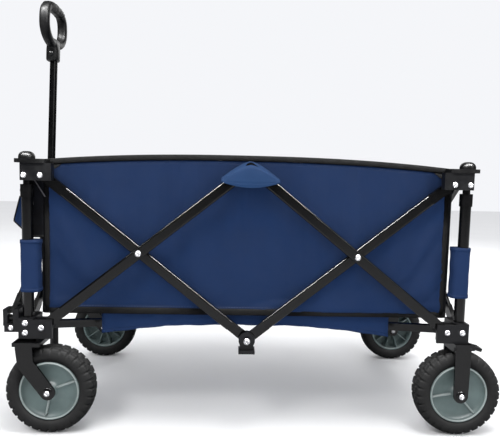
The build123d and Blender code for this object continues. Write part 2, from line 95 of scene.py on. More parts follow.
# ---- materials ------------------------------------------------------------
class Nodes:
    """Short calls for making the nodes of one material."""

    def __init__(self, name):
        self.material = bpy.data.materials.new(name)
        self.material.use_nodes = True
        self.tree = self.material.node_tree
        self.shader = self.tree.nodes["Principled BSDF"]

    def add(self, kind, inputs=None, **settings):
        node = self.tree.nodes.new(kind)
        for key, value in settings.items():
            setattr(node, key, value)
        for key, value in (inputs or {}).items():
            self.feed(node, key, value)
        return node

    def feed(self, node, key, value):
        if isinstance(value, bpy.types.NodeSocket):
            self.tree.links.new(value, node.inputs[key])
        else:
            node.inputs[key].default_value = value

    def place(self):
        return self.add("ShaderNodeTexCoord").outputs["Object"]

    def noise(self, scale, detail=3.0, place=None):
        node = self.add("ShaderNodeTexNoise", {"Scale": scale, "Detail": detail,
                                               "Vector": place or self.place()})
        return node.outputs["Fac"]

    def math(self, how, a, b=0.0):
        return self.add("ShaderNodeMath", {0: a, 1: b}, operation=how).outputs[0]

    def spread(self, value, low, high):
        """A noise from about 0.3 to 0.7 stretched to run from low to high."""
        node = self.add("ShaderNodeMapRange", {"Value": value, "From Min": 0.3, "From Max": 0.7,
                                               "To Min": low, "To Max": high})
        return node.outputs[0]

    def mix(self, share, a, b):
        node = self.add("ShaderNodeMix", {0: share, 6: a, 7: b}, data_type="RGBA")
        return node.outputs[2]

    def shade(self, colour, amount, scale, detail=3.0):
        """The colour, lighter and darker in patches."""
        dark = tuple(c * (1 - amount) for c in colour) + (1,)
        light = tuple(c * (1 + amount) for c in colour) + (1,)
        return self.mix(self.spread(self.noise(scale, detail), 0.0, 1.0), dark, light)

    def bump(self, height, distance, strength=1.0, under=None):
        inputs = {"Height": height, "Distance": distance, "Strength": strength}
        if under:
            inputs["Normal"] = under
        return self.add("ShaderNodeBump", inputs).outputs[0]

    def finish(self, **sockets):
        for key, value in sockets.items():
            self.feed(self.shader, key.replace("_", " "), value)
        return self.material


def wave(nodes, place, direction, pitch):
    """A sine of the place along a direction."""
    along = nodes.add("ShaderNodeVectorMath", {0: place, 1: direction}, operation="DOT_PRODUCT")
    turn = nodes.math("MULTIPLY", along.outputs["Value"], 2 * pi / pitch)
    return nodes.math("SINE", turn)


def cloth_material(name, colour, across, up, pitch=0.0013, sheen=0.012, rough=0.68):
    """Coated plain weave: threads cross over and under along two directions."""
    nodes = Nodes(name)
    place = nodes.place()
    weave = nodes.math("MULTIPLY", wave(nodes, place, across, pitch), wave(nodes, place, up, pitch))
    share = nodes.math("MULTIPLY_ADD", weave, 0.5)
    share.node.inputs[2].default_value = 0.5
    blotch = nodes.shade(colour, 0.07, 9.0, 4.0)
    dark = tuple(c * 0.78 for c in colour) + (1,)
    base = nodes.mix(nodes.math("MULTIPLY", share, 0.28), blotch, dark)
    dust = nodes.spread(nodes.noise(46.0, 5.0), 0.0, 0.05)
    base = nodes.mix(dust, base, (0.05, 0.06, 0.09, 1))
    roughness = nodes.spread(nodes.noise(60.0, 4.0), rough - 0.07, rough + 0.07)
    soft = nodes.bump(nodes.noise(22.0, 3.0), 0.0012, 0.5)
    return nodes.finish(Base_Color=base, Roughness=roughness, Sheen_Weight=sheen, Sheen_Roughness=0.5,
                        Specular_IOR_Level=0.015, Normal=nodes.bump(share, 0.00022, 0.7, soft))


def tube_material():
    """Black powder coat: satin, with a fine orange peel and rubbed edges."""
    nodes = Nodes("black_tube")
    worn = nodes.spread(nodes.noise(75.0, 6.0), 0.0, 0.04)
    base = nodes.mix(worn, nodes.shade((0.0016, 0.0016, 0.0019), 0.25, 14.0), (0.03, 0.03, 0.032, 1))
    return nodes.finish(Base_Color=base, Roughness=nodes.spread(nodes.noise(40.0, 4.0), 0.14, 0.24),
                        Specular_IOR_Level=0.22,
                        Normal=nodes.bump(nodes.noise(900.0, 2.0), 0.00012, 0.5))


def plastic_material(name, colour, rough, grain=0.0002, scale=1600.0):
    """Moulded plastic with a fine etched grain."""
    nodes = Nodes(name)
    fleck = nodes.spread(nodes.noise(120.0, 5.0), 0.0, 0.04)
    pale = tuple(min(1.0, c * 2.2 + 0.02) for c in colour) + (1,)
    base = nodes.mix(fleck, nodes.shade(colour, 0.16, 18.0), pale)
    height = nodes.bump(nodes.noise(scale, 2.0), grain, 0.6, nodes.bump(nodes.noise(70.0), 0.0004, 0.25))
    return nodes.finish(Base_Color=base, Roughness=nodes.spread(nodes.noise(55.0, 4.0), rough - 0.07,
                                                                rough + 0.08),
                        Specular_IOR_Level=0.17, Normal=height)


def rubber_material(name, colour, rough=0.78):
    """Dull rubber, greyer where it has scuffed."""
    nodes = Nodes(name)
    scuff = nodes.spread(nodes.noise(60.0, 6.0), 0.0, 0.14)
    base = nodes.mix(scuff, nodes.shade(colour, 0.2, 25.0), (0.013, 0.013, 0.013, 1))
    return nodes.finish(Base_Color=base, Roughness=nodes.spread(nodes.noise(90.0, 3.0), rough - 0.1,
                                                                rough + 0.1),
                        Specular_IOR_Level=0.12, Normal=nodes.bump(nodes.noise(420.0, 3.0), 0.0003, 0.5))


def steel_material():
    """Bright zinc-plated steel with fine turning marks."""
    nodes = Nodes("bright_steel")
    base = nodes.mix(nodes.spread(nodes.noise(300.0, 4.0), 0.0, 0.5), (0.50, 0.50, 0.52, 1),
                     (0.34, 0.34, 0.36, 1))
    return nodes.finish(Base_Color=base, Metallic=1.0,
                        Roughness=nodes.spread(nodes.noise(220.0, 4.0), 0.22, 0.42),
                        Normal=nodes.bump(nodes.noise(700.0, 2.0), 0.00008, 0.4))


def floor_material():
    """Pale matt studio floor."""
    nodes = Nodes("studio_floor")
    return nodes.finish(Base_Color=nodes.shade((0.82, 0.82, 0.82), 0.012, 3.0), Specular_IOR_Level=0.1,
                        Roughness=nodes.spread(nodes.noise(8.0), 0.78, 0.86))


def webbing_material():
    """Black woven binding: ribs across the band and a faint sheen."""
    nodes = Nodes("black_webbing")
    place = nodes.place()
    ribs = nodes.math("ADD", wave(nodes, place, (1, 1, 0), 0.0016), wave(nodes, place, (0, 0, 1), 0.0016))
    return nodes.finish(Base_Color=nodes.shade((0.0022, 0.0022, 0.0026), 0.3, 60.0),
                        Roughness=nodes.spread(nodes.noise(90.0), 0.7, 0.88), Sheen_Weight=0.01,
                        Specular_IOR_Level=0.07, Normal=nodes.bump(ribs, 0.0002, 0.6))


NAVY = (0.0112, 0.0268, 0.0790)
NAVY_LIGHT = (0.0180, 0.0470, 0.1220)
SIDE_CLOTH = cloth_material("navy_side", NAVY, (1, 0, 0), (0, 0, 1))
END_CLOTH = cloth_material("navy_end", NAVY, (0, 1, 0), (0, 0, 1))
FLOOR_CLOTH = cloth_material("navy_floor", NAVY, (1, 0, 0), (0, 1, 0))
CAP_CLOTH = cloth_material("navy_cap", NAVY_LIGHT, (1, 0, 0), (0, 0, 1))
LINING = cloth_material("black_cloth", (0.0045, 0.0045, 0.0055), (1, 1, 0), (0, 0, 1), 0.0016)
WEBBING = webbing_material()
TUBE = tube_material()
BLACK_PLASTIC = plastic_material("black_plastic", (0.0028, 0.0029, 0.0034), 0.36)
DARK_PLASTIC = plastic_material("dark_plastic", (0.0045, 0.0047, 0.0060), 0.36)
GREY_PLASTIC = plastic_material("grey_plastic", (0.098, 0.132, 0.130), 0.48)
LIP_PLASTIC = plastic_material("lip_plastic", (0.22, 0.255, 0.25), 0.42)
TYRE = rubber_material("tyre_rubber", (0.0028, 0.0029, 0.0033))
GRIP = rubber_material("grip_rubber", (0.0024, 0.0024, 0.0029), 0.42)
STEEL = steel_material()
PIPING = plastic_material("grey_piping", (0.09, 0.09, 0.10), 0.5)
NAVY_THREAD = plastic_material("navy_thread", (0.022, 0.044, 0.115), 0.6)
FLOOR_LOOK = floor_material()


# ---- mesh helpers -----------------------------------------------------------
def piece(name, vertices, faces, look, body, smooth=True):
    """A mesh piece that rides on a body."""
    mesh = bpy.data.meshes.new(name)
    mesh.from_pydata([tuple(v) for v in vertices], [], faces)
    mesh.materials.append(look)
    mesh.polygons.foreach_set("use_smooth", [smooth] * len(mesh.polygons))
    made = bmesh.new()
    made.from_mesh(mesh)
    bmesh.ops.recalc_face_normals(made, faces=made.faces)
    made.to_mesh(mesh)
    made.free()
    obj = bpy.data.objects.new(name, mesh)
    bpy.context.scene.collection.objects.link(obj)
    if body:
        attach(obj, body)
    return obj


def grid_faces(rows, columns, wrap_rows=False, wrap_columns=False):
    """Quads of a grid of points stored row by row."""
    faces = []
    for i in range(rows if wrap_rows else rows - 1):
        for j in range(columns if wrap_columns else columns - 1):
            a, b = i % rows, (i + 1) % rows
            c, d = j % columns, (j + 1) % columns
            faces.append((a * columns + c, a * columns + d, b * columns + d, b * columns + c))
    return faces


def sweep(name, path, section, look, body, closed=False, smooth=True):
    """A closed section carried along a path. section(i) gives points (across, up) and each path
    entry is (point, across, up)."""
    vertices = []
    for i, (point, across, up) in enumerate(path):
        for a, b in section(i):
            vertices.append(point + across * a + up * b)
    count = len(section(0))
    faces = grid_faces(len(path), count, wrap_rows=closed, wrap_columns=True)
    if not closed:
        faces.append(tuple(range(count)))
        faces.append(tuple(range((len(path) - 1) * count, len(path) * count)))
    return piece(name, vertices, faces, look, body, smooth)


def oval(width, height, points=12, power=2.0):
    """A superellipse section: power 2 is an ellipse, and more is squarer."""
    made = []
    for k in range(points):
        t = 2 * pi * k / points
        c, s = cos(t), sin(t)
        made.append((width / 2 * abs(c) ** (2 / power) * (1 if c >= 0 else -1),
                     height / 2 * abs(s) ** (2 / power) * (1 if s >= 0 else -1)))
    return made


def lathe(name, centre, axis, profile, look, body, steps=64, wobble=None):
    """A profile of (radius, along the axis) turned about the axis."""
    axis = Vector(axis).normalized()
    side = axis.orthogonal().normalized()
    other = axis.cross(side)
    vertices = []
    for k in range(steps):
        t = 2 * pi * k / steps
        for n, (radius, along) in enumerate(profile):
            if wobble:
                radius, along = wobble(k, n, radius, along)
            vertices.append(Vector(centre) + axis * along + (side * cos(t) + other * sin(t)) * radius)
    return piece(name, vertices, grid_faces(steps, len(profile), wrap_rows=True), look, body)


def modifier(obj, kind, **settings):
    """Add a modifier and set its values."""
    made = obj.modifiers.new(kind.lower(), kind)
    for key, value in settings.items():
        setattr(made, key, value)
    return made


def thicken(obj, thickness=CLOTH):
    """Give a sheet its thickness, both ways from its middle."""
    modifier(obj, "SOLIDIFY", thickness=thickness, offset=0.0)


def bolt(name, centre, outward, radius, body):
    """A pan-head cross-recess bolt."""
    out = Vector(outward).normalized()
    side = out.orthogonal().normalized()
    other = out.cross(side)
    rings, steps = 9, 40
    height = radius * 0.46
    slot_half, slot_reach = radius * 0.13, radius * 0.55
    vertices = []
    for i in range(rings + 1):
        share = i / rings
        for k in range(steps):
            t = 2 * pi * k / steps
            u, v = radius * share * cos(t), radius * share * sin(t)
            rise = height * (1 - share ** 3.2)
            for p, q in ((u, v), (v, u)):
                if abs(p) < slot_half and abs(q) < slot_reach:
                    rise = height * 0.35
            vertices.append(Vector(centre) + out * rise + side * u + other * v)
    for k in range(steps):
        t = 2 * pi * k / steps
        vertices.append(Vector(centre) - out * 0.0012 + (side * cos(t) + other * sin(t)) * radius)
    return piece(name, vertices, grid_faces(rings + 2, steps, wrap_columns=True), STEEL, body)


# ---- cloth ----------------------------------------------------------------
def settle(obj, held, cap, frames=16, gravity=0.6, pressure=0.0, slack=0.012):
    """Let a sheet sag and crease under a short cloth simulation, and keep the result.

    held lists the vertices that are sewn down, and cap is how far any other may move.
    """
    start = np.array([v.co for v in obj.data.vertices], float)
    group = obj.vertex_groups.new(name="held")
    group.add(held, 1.0, "REPLACE")
    cloth = modifier(obj, "CLOTH")
    cloth.settings.vertex_group_mass = "held"
    cloth.settings.quality = 5
    cloth.settings.mass = 0.3
    cloth.settings.tension_stiffness = 18
    cloth.settings.compression_stiffness = 18
    cloth.settings.shear_stiffness = 8
    cloth.settings.bending_stiffness = 0.35
    cloth.settings.shrink_min = -slack
    cloth.settings.use_pressure = pressure != 0
    cloth.settings.uniform_pressure_force = pressure
    cloth.settings.effector_weights.gravity = gravity
    cloth.collision_settings.use_collision = False
    for step in range(1, frames + 1):
        bpy.context.scene.frame_set(step)
    graph = bpy.context.evaluated_depsgraph_get()
    moved = obj.evaluated_get(graph).to_mesh()
    after = np.array([v.co for v in moved.vertices], float)
    obj.modifiers.remove(cloth)
    obj.vertex_groups.clear()
    bpy.context.scene.frame_set(1)
    shift = after - start
    size = np.linalg.norm(shift, axis=1, keepdims=True)
    shift *= np.minimum(1.0, cap / np.maximum(size, 1e-9))
    after = start + shift
    for vertex, place in zip(obj.data.vertices, after):
        vertex.co = place
    return obj


def rim_height(share):
    """How high the rim stands above the tub's top at a share -1..1 of the length: it bows up."""
    return RIM_Z - RIM_DROP + 0.017 * (1 - abs(share) ** 2.4)


def wall(name, along, out, reach, offset, look, body, columns, rows, bow):
    """One upright wall of the tub, between its corners, sagged by a cloth simulation."""
    vertices = []
    for i in range(rows):
        for j in range(columns):
            share = -1 + 2 * j / (columns - 1)
            top = rim_height(share) if bow else RIM_Z - RIM_DROP
            z = FLOOR_Z + BASE_LIFT + (top - 0.006 - FLOOR_Z - BASE_LIFT) * i / (rows - 1)
            ripple = 0.0009 * sin(31 * share + 5 * z / RIM_Z) * sin(pi * i / (rows - 1))
            vertices.append(Vector((MID_X, 0, 0)) + along * (share * reach) + out * (offset + ripple)
                            + Vector((0, 0, z)))
    obj = piece(name, vertices, grid_faces(rows, columns), look, None)
    edge = [i * columns + j for i in range(rows) for j in range(columns)
            if i in (0, rows - 1) or j in (0, columns - 1)]
    settle(obj, edge, 0.0045)
    thicken(obj)
    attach(obj, body)
    return obj


def band(name, points, out, width, thick, look, body):
    """A flat binding along a run of points, standing on its edge, with out its thin direction."""
    path = []
    for i, point in enumerate(points):
        ahead = (points[min(i + 1, len(points) - 1)] - points[max(i - 1, 0)]).normalized()
        normal = out(i) if callable(out) else out
        path.append((point, normal, ahead.cross(normal).normalized()))
    section = oval(thick, width, 12, 4.0)
    return sweep(name, path, lambda i: section, look, body)


def line(start, end, count):
    """Evenly spaced points from start to end."""
    return [start.lerp(end, k / (count - 1)) for k in range(count)]


def close_up(objs):
    """Give each piece its own copy of its mesh data."""
    for obj in objs:
        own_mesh(obj)


def long_wall(side):
    """A long side of the tub, with its bindings, stitches and corner darts: gives its cloth."""
    sy = SIDES[side]
    out = Vector((0, sy, 0))
    body = f"upper_corner_{side}_front"
    reach = HALF_LENGTH - CORNER
    face = HALF_WIDTH - CLOTH / 2
    cloth = wall(f"wall_{side}", Vector((1, 0, 0)), out, reach, face, SIDE_CLOTH, body, 97, 37, True)

    def at(share, z, proud):
        return Vector((MID_X + share * reach, sy * (face + proud), z))

    shares = [-1 + 2 * k / 48 for k in range(49)]
    rim = band(f"rim_{side}", [at(s, rim_height(s), 0.0006) for s in shares], out, *RIM_BAND, WEBBING, body)
    low = band(f"bottom_band_{side}", [at(s, FLOOR_Z + BASE_LIFT, 0.0) for s in shares], out, *LOW_BAND,
               WEBBING, body)
    pieces = [cloth, rim, low]
    high_run = [at(s, rim_height(s) - SEAM_DROP, 0.0009) for s in shares]
    low_run = [at(s, FLOOR_Z + SEAM_LIFT, 0.0009) for s in shares]
    for n, run in enumerate((high_run, low_run)):
        pieces.append(seam(f"stitch_{side}_{n}", run, out, body, NAVY_THREAD))
    for end, sx in ENDS.items():
        run = line(at(sx * 0.994, FLOOR_Z + BASE_LIFT, 0.0004), at(sx * 0.994, RIM_Z - 0.012, 0.0004), 24)
        pieces.append(band(f"upright_{side}_{end}", run, out, *UPRIGHT_BAND, WEBBING, body))
        dart_length = 0.034
        corner = [at(sx, RIM_Z - 0.014, 0.0012), at(sx - sx * dart_length / reach, RIM_Z - 0.013, 0.0012),
                  at(sx, RIM_Z - 0.014 - dart_length * 0.75, 0.0012)]
        inner = [p + out * 0.0012 for p in corner]
        dart = piece(f"dart_{side}_{end}", corner + inner,
                     [(0, 1, 2), (3, 5, 4), (0, 3, 4, 1), (1, 4, 5, 2), (2, 5, 3, 0)], WEBBING, body)
        pieces.append(dart)
    close_up(pieces)
    return cloth


def end_wall(end):
    """A short end of the tub."""
    sx = ENDS[end]
    out = Vector((sx, 0, 0))
    body = f"upper_corner_near_{end}"
    reach = HALF_WIDTH - CORNER
    face = HALF_LENGTH - CLOTH / 2
    cloth = wall(f"wall_{end}", Vector((0, 1, 0)), out, reach, face, END_CLOTH, body, 49, 37, False)

    def at(share, z, proud):
        return Vector((MID_X + sx * (face + proud), share * reach, z))

    shares = [-1 + 2 * k / 24 for k in range(25)]
    rim = band(f"rim_{end}", [at(s, RIM_Z - RIM_DROP, 0.0006) for s in shares], out, *RIM_BAND, WEBBING, body)
    low = band(f"bottom_band_{end}", [at(s, FLOOR_Z + BASE_LIFT, 0.0) for s in shares], out, *LOW_BAND,
               WEBBING, body)
    pieces = [cloth, rim, low]
    for n, z in enumerate((RIM_Z - RIM_DROP - SEAM_DROP, FLOOR_Z + SEAM_LIFT)):
        pieces.append(seam(f"stitch_{end}_{n}", [at(s, z, 0.0009) for s in shares], out, body, NAVY_THREAD))
    for side, sy in SIDES.items():
        run = line(at(sy * 0.988, FLOOR_Z + BASE_LIFT, 0.0004), at(sy * 0.988, RIM_Z - 0.012, 0.0004), 24)
        pieces.append(band(f"upright_{end}_{side}", run, out, *UPRIGHT_BAND, WEBBING, body))
    close_up(pieces)


def seam(name, run, out, body, look):
    """A row of stitches: short raised threads along a run of points."""
    pitch, thread = 0.0055, 0.0007
    vertices, faces = [], []
    for a, b in zip(run, run[1:]):
        count = max(1, round((b - a).length / pitch))
        for k in range(count):
            start, end = a.lerp(b, (k + 0.12) / count), a.lerp(b, (k + 0.78) / count)
            ahead = (end - start).normalized()
            up = ahead.cross(out).normalized()
            base = len(vertices)
            for point, lift in ((start, 0.0), (start.lerp(end, 0.5), thread), (end, 0.0)):
                vertices += [point + up * thread / 2, point + out * (thread * 0.6 + lift * 0.5),
                             point - up * thread / 2]
            faces += [(base, base + 3, base + 4, base + 1), (base + 1, base + 4, base + 5, base + 2),
                      (base + 3, base + 6, base + 7, base + 4), (base + 4, base + 7, base + 8, base + 5)]
    return piece(name, vertices, faces, look, body)


def corner_post_cloth(side, end):
    """The rounded upright corner of the tub, its binding and rim."""
    sy, sx = SIDES[side], ENDS[end]
    body = f"upper_corner_{side}_{end}"
    centre = Vector((MID_X + sx * (HALF_LENGTH - CORNER), sy * (HALF_WIDTH - CORNER), 0))
    radius = CORNER - CLOTH / 2
    columns, rows = 13, 30
    vertices = []
    for i in range(rows):
        z = FLOOR_Z + BASE_LIFT + (RIM_Z - 0.016 - FLOOR_Z - BASE_LIFT) * i / (rows - 1)
        for j in range(columns):
            t = pi / 2 * j / (columns - 1)
            vertices.append(centre + Vector((sx * cos(t), sy * sin(t), 0)) * radius + Vector((0, 0, z)))
    cloth = piece(f"corner_{side}_{end}", vertices, grid_faces(rows, columns), LINING, body)
    thicken(cloth)
    turn = [centre + Vector((sx * cos(t), sy * sin(t), 0)) * radius
            for t in (pi / 2 * j / (columns - 1) for j in range(columns))]
    outs = [(p - centre).normalized() for p in turn]
    rim = band(f"rim_corner_{side}_{end}", [p + Vector((0, 0, RIM_Z - RIM_DROP)) for p in turn],
               lambda i: outs[i], *RIM_BAND, WEBBING, body)
    low = band(f"bottom_corner_{side}_{end}", [p + Vector((0, 0, FLOOR_Z + BASE_LIFT)) for p in turn],
               lambda i: outs[i], *LOW_BAND, WEBBING, body)


def floor_panel(name, sx, sy, x_from, x_to, y_reach, body):
    """A padded panel of the floor: between two lengths that change across its width."""
    columns, rows = 36, 20
    vertices = []
    for layer in (0, 1):
        for i in range(rows):
            v = i / (rows - 1)
            y = 0.0015 + (y_reach - 0.0015) * v
            for j in range(columns):
                u = j / (columns - 1)
                x = x_from(y) + (x_to(y) - x_from(y)) * u
                edge = min(u, 1 - u, v, 1 - v)
                puff = 0.0022 * min(1.0, edge * 9) + 0.0006 * sin(9 * u) * sin(7 * v)
                z = FLOOR_Z + (0.0085 + puff if layer else 0.0045)
                vertices.append(Vector((MID_X + sx * x, sy * y, z)))
    half = rows * columns
    faces = grid_faces(rows, columns)
    faces += [tuple(half + k for k in face) for face in grid_faces(rows, columns)]
    ring = list(range(columns)) + [i * columns + columns - 1 for i in range(1, rows)]
    ring += [(rows - 1) * columns + j for j in range(columns - 2, -1, -1)]
    ring += [i * columns for i in range(rows - 2, 0, -1)]
    for k, a in enumerate(ring):
        b = ring[(k + 1) % len(ring)]
        faces.append((a, b, b + half, a + half))
    return piece(name, vertices, faces, FLOOR_CLOTH, body)


def floor_quarter(side, end):
    """A quarter of the padded floor: a long panel carried by its strut, and one at the corner."""
    sy, sx = SIDES[side], ENDS[end]
    x_reach, y_reach = HALF_LENGTH - 0.006, HALF_WIDTH - 0.006
    hinge = joint_at(f"strut_{side}_{end}")
    run = Vector((MID_X - hinge.x, -hinge.y, 0)).normalized()
    corner_reach, gap = 0.125, 0.0015

    def cut(y):
        return x_reach - (corner_reach - (y_reach - y) * abs(run.y)) / abs(run.x)

    pad = floor_panel(f"floor_pad_{side}_{end}", sx, sy, lambda y: gap, cut, y_reach,
                      f"floor_strut_{side}_{end}")
    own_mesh(pad)
    corner = floor_panel(f"floor_corner_{side}_{end}", sx, sy, lambda y: cut(y) + gap, lambda y: x_reach,
                         y_reach, f"upper_corner_{side}_{end}")
    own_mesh(corner)


def strut_sleeve(side, end):
    """The cloth sleeve that hangs round a floor strut."""
    body = f"floor_strut_{side}_{end}"
    hinge = joint_at(f"strut_{side}_{end}")
    low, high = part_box(f"floor_strut_{side}_{end}")
    run = Vector((MID_X - hinge.x, -hinge.y, 0))
    length = run.length
    run.normalize()
    across = Vector((-run.y, run.x, 0))
    drop = (high.z - low.z - 0.016) / 0.355
    path, sizes = [], []
    steps = 40
    start, stop = 0.117, 0.350
    top = FLOOR_Z + 0.002
    for k in range(steps):
        share = k / (steps - 1)
        distance = start + (stop - start) * share
        foot = hinge.z - drop * distance - 0.010 - 0.014 * (1 - share) ** 1.6 + 0.0007 * sin(share * 23)
        middle = hinge + run * distance
        middle.z = (top + foot) / 2
        path.append((middle, across, Vector((0, 0, 1))))
        sizes.append((0.0185 + 0.0012 * sin(share * 17), top - foot))
    return sweep(f"strut_sleeve_{side}_{end}", path, lambda i: oval(*sizes[i], 28, 3.4), SIDE_CLOTH, body)


def valance(side):
    """The blue cloth that hangs below the floor along one side, higher at its middle."""
    sy = SIDES[side]
    body = f"upper_corner_{side}_front"
    reach = 0.308
    columns, rows = 61, 9
    vertices = []
    for i in range(rows):
        for j in range(columns):
            u = -1 + 2 * j / (columns - 1)
            v = i / (rows - 1)
            low = FLOOR_Z - 0.0245 - 0.0215 * abs(u) ** 2.6
            z = low + (FLOOR_Z + 0.002 - low) * v
            swing = (0.0022 * sin(15 * u) + 0.0015 * sin(37 * u + 1)) * (1 - v)
            vertices.append(Vector((MID_X + reach * u, sy * (0.1955 + swing), z)))
    cloth = piece(f"valance_{side}", vertices, grid_faces(rows, columns), SIDE_CLOTH, body)
    thicken(cloth)
    hem = band(f"valance_hem_{side}", vertices[:columns], Vector((0, sy, 0)), 0.005, 0.0030, SIDE_CLOTH, body)
    close_up([cloth, hem])


def peak_cap(side):
    """The cloth cap over the high middle pivot, rounded at its top and hemmed below."""
    sy = SIDES[side]
    body = f"upper_corner_{side}_front"
    face = abs(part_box(f"up_bar_{side}_front")[0 if sy < 0 else 1].y) + 0.0045
    half, base, top = 0.059, PEAK_LOW, PEAK_HIGH
    columns, rows = 41, 22
    vertices = []
    for i in range(rows):
        for j in range(columns):
            u = -1 + 2 * j / (columns - 1)
            v = i / (rows - 1)
            outline = top - (top - base - 0.004) * (abs(u) ** 1.45)
            foot = base - 0.011 * (1 - u * u)
            z = foot + (outline - foot) * v
            crown = 0.0042 * (1 - u * u) * sin(pi * min(1, v * 0.9 + 0.1))
            back = 0.026 * max(0.0, v - 0.80) / 0.20
            vertices.append(Vector((MID_X + half * u, sy * (face + crown - back * v), z)))
    cap = piece(f"peak_cap_{side}", vertices, grid_faces(rows, columns), CAP_CLOTH, None)
    held = [i * columns + j for i in range(rows) for j in range(columns)
            if i in (0, rows - 1) or j in (0, columns - 1)]
    settle(cap, held, 0.0015, frames=10)
    thicken(cap, 0.002)
    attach(cap, body)
    hem = band(f"peak_hem_{side}", [vertices[j] + Vector((0, sy * 0.0006, 0)) for j in range(columns)],
               Vector((0, sy, 0)), 0.005, 0.0028, CAP_CLOTH, body)
    close_up([cap, hem])


def post_sleeve(side, end):
    """The blue sleeve sewn round a corner post, and above it at the front a black gusset."""
    sy, sx = SIDES[side], ENDS[end]
    body = f"upper_corner_{side}_{end}"
    low, high = 0.294, 0.400
    post = Vector((MID_X + sx * POST_X, sy * POST_Y, 0))
    steps = 26
    path, widths = [], []
    for k in range(steps):
        share = k / (steps - 1)
        z = low + (high - low) * share
        waist = 0.0012 * sin(pi * share) + 0.0005 * sin(17 * share)
        inner, outer = SLEEVE_REACH[end] - waist, SLEEVE_BACK - waist / 2
        middle = post + Vector((-sx * (inner - outer) / 2, 0, z))
        path.append((middle, Vector((1, 0, 0)), Vector((0, 1, 0))))
        widths.append(inner + outer)
    sweep(f"post_sleeve_{side}_{end}", path, lambda i: oval(widths[i], 0.031, 28, 3.2), SIDE_CLOTH, body)
    for n, z in enumerate((low + 0.004, high - 0.004)):
        ring = oval(SLEEVE_REACH[end] + 0.0140, 0.032, 28, 3.2)
        middle = post + Vector((-sx * (SLEEVE_REACH[end] - SLEEVE_BACK) / 2, 0, z))
        hem = [(middle + Vector((0, 0, dz)), Vector((1, 0, 0)), Vector((0, 1, 0))) for dz in (-0.003, 0.003)]
        sweep(f"sleeve_hem_{side}_{end}_{n}", hem, lambda i: ring, SIDE_CLOTH, body)
    if end == "front":
        gusset_cloth(side, end, body, high)


def gusset_cloth(side, end, body, low):
    """The black cloth between a front post and the tub, and the piped straps in front of it."""
    sy, sx = SIDES[side], ENDS[end]
    columns, rows = 11, 26
    vertices = []
    top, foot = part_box(f"upper_bracket_{side}_{end}")[0].z + 0.004, low + 0.005
    outer = POST_X + 0.007
    reach = outer - HALF_LENGTH + 0.006
    for i in range(rows):
        for j in range(columns):
            u, v = j / (columns - 1), i / (rows - 1)
            tuck = 0.0009 * sin(9 * v + 4 * u)
            vertices.append(Vector((MID_X + sx * (outer - reach * u),
                                    sy * (HALF_WIDTH + 0.0030 - 0.0015 * u + tuck), foot + (top - foot) * v)))
    gusset = piece(f"gusset_{side}_{end}", vertices, grid_faces(rows, columns), LINING, body)
    thicken(gusset)
    edge = band(f"gusset_edge_{side}_{end}", [vertices[j] for j in range(columns)], Vector((0, sy, 0)), 0.005,
                0.0034, WEBBING, body)
    for n, (x_from, x_to, z_to) in enumerate(((0.441, 0.4195, 0.487), (0.449, 0.444, 0.470))):
        run = line(Vector((MID_X + sx * x_from, sy * (HALF_WIDTH + 0.0055), top - 0.002)),
                   Vector((MID_X + sx * x_to, sy * (HALF_WIDTH + 0.0045), z_to)), 14)
        band(f"piping_{side}_{end}_{n}", run, Vector((0, sy, 0)), 0.0022, 0.0018, PIPING, body)


def post_flap():
    """The small blue wing and its strap loop, ahead of the near front post."""
    body = "upper_corner_near_front"
    y = -POST_Y + 0.014
    x_in = MID_X - POST_X - 0.0095
    outline = [(0.0, 0.487), (0.0100, 0.487), (0.0235, 0.437), (0.0, 0.414)]
    rows, columns = 18, 7
    vertices = []
    for i in range(rows):
        z = outline[3][1] + (outline[0][1] - outline[3][1]) * i / (rows - 1)
        if z > outline[2][1]:
            share = (z - outline[2][1]) / (outline[1][1] - outline[2][1])
            reach = outline[2][0] + (outline[1][0] - outline[2][0]) * share
        else:
            share = (z - outline[3][1]) / (outline[2][1] - outline[3][1])
            reach = 0.001 + outline[2][0] * share
        for j in range(columns):
            u = j / (columns - 1)
            belly = 0.0022 * sin(pi * u) - 0.0008 * sin(6 * u + 30 * z)
            vertices.append(Vector((x_in - reach * u, y + belly, z)))
    flap = piece("post_flap", vertices, grid_faces(rows, columns), SIDE_CLOTH, body)
    thicken(flap, 0.002)
    border = [vertices[i * columns + columns - 1] for i in range(rows)]
    hem = band("post_flap_edge", border, Vector((0, -1, 0)), 0.0026, 0.0032, WEBBING, body)
    strap = []
    for k in range(17):
        t = pi * k / 16
        strap.append(Vector((x_in - 0.0075 * sin(t), y, 0.486 + 0.026 * k / 16)))
    loop = band("post_flap_strap", strap, Vector((0, -1, 0)), 0.0032, 0.012, WEBBING, body)


def tub():
    """The whole cloth tub."""
    walls = []
    for side in SIDES:
        walls.append(long_wall(side))
        peak_cap(side)
        valance(side)
    for end in ENDS:
        end_wall(end)
    post_flap()
    for side in SIDES:
        for end in ENDS:
            corner_post_cloth(side, end)
            floor_quarter(side, end)
            strut_sleeve(side, end)
            post_sleeve(side, end)
    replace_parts(walls[0], "tub")


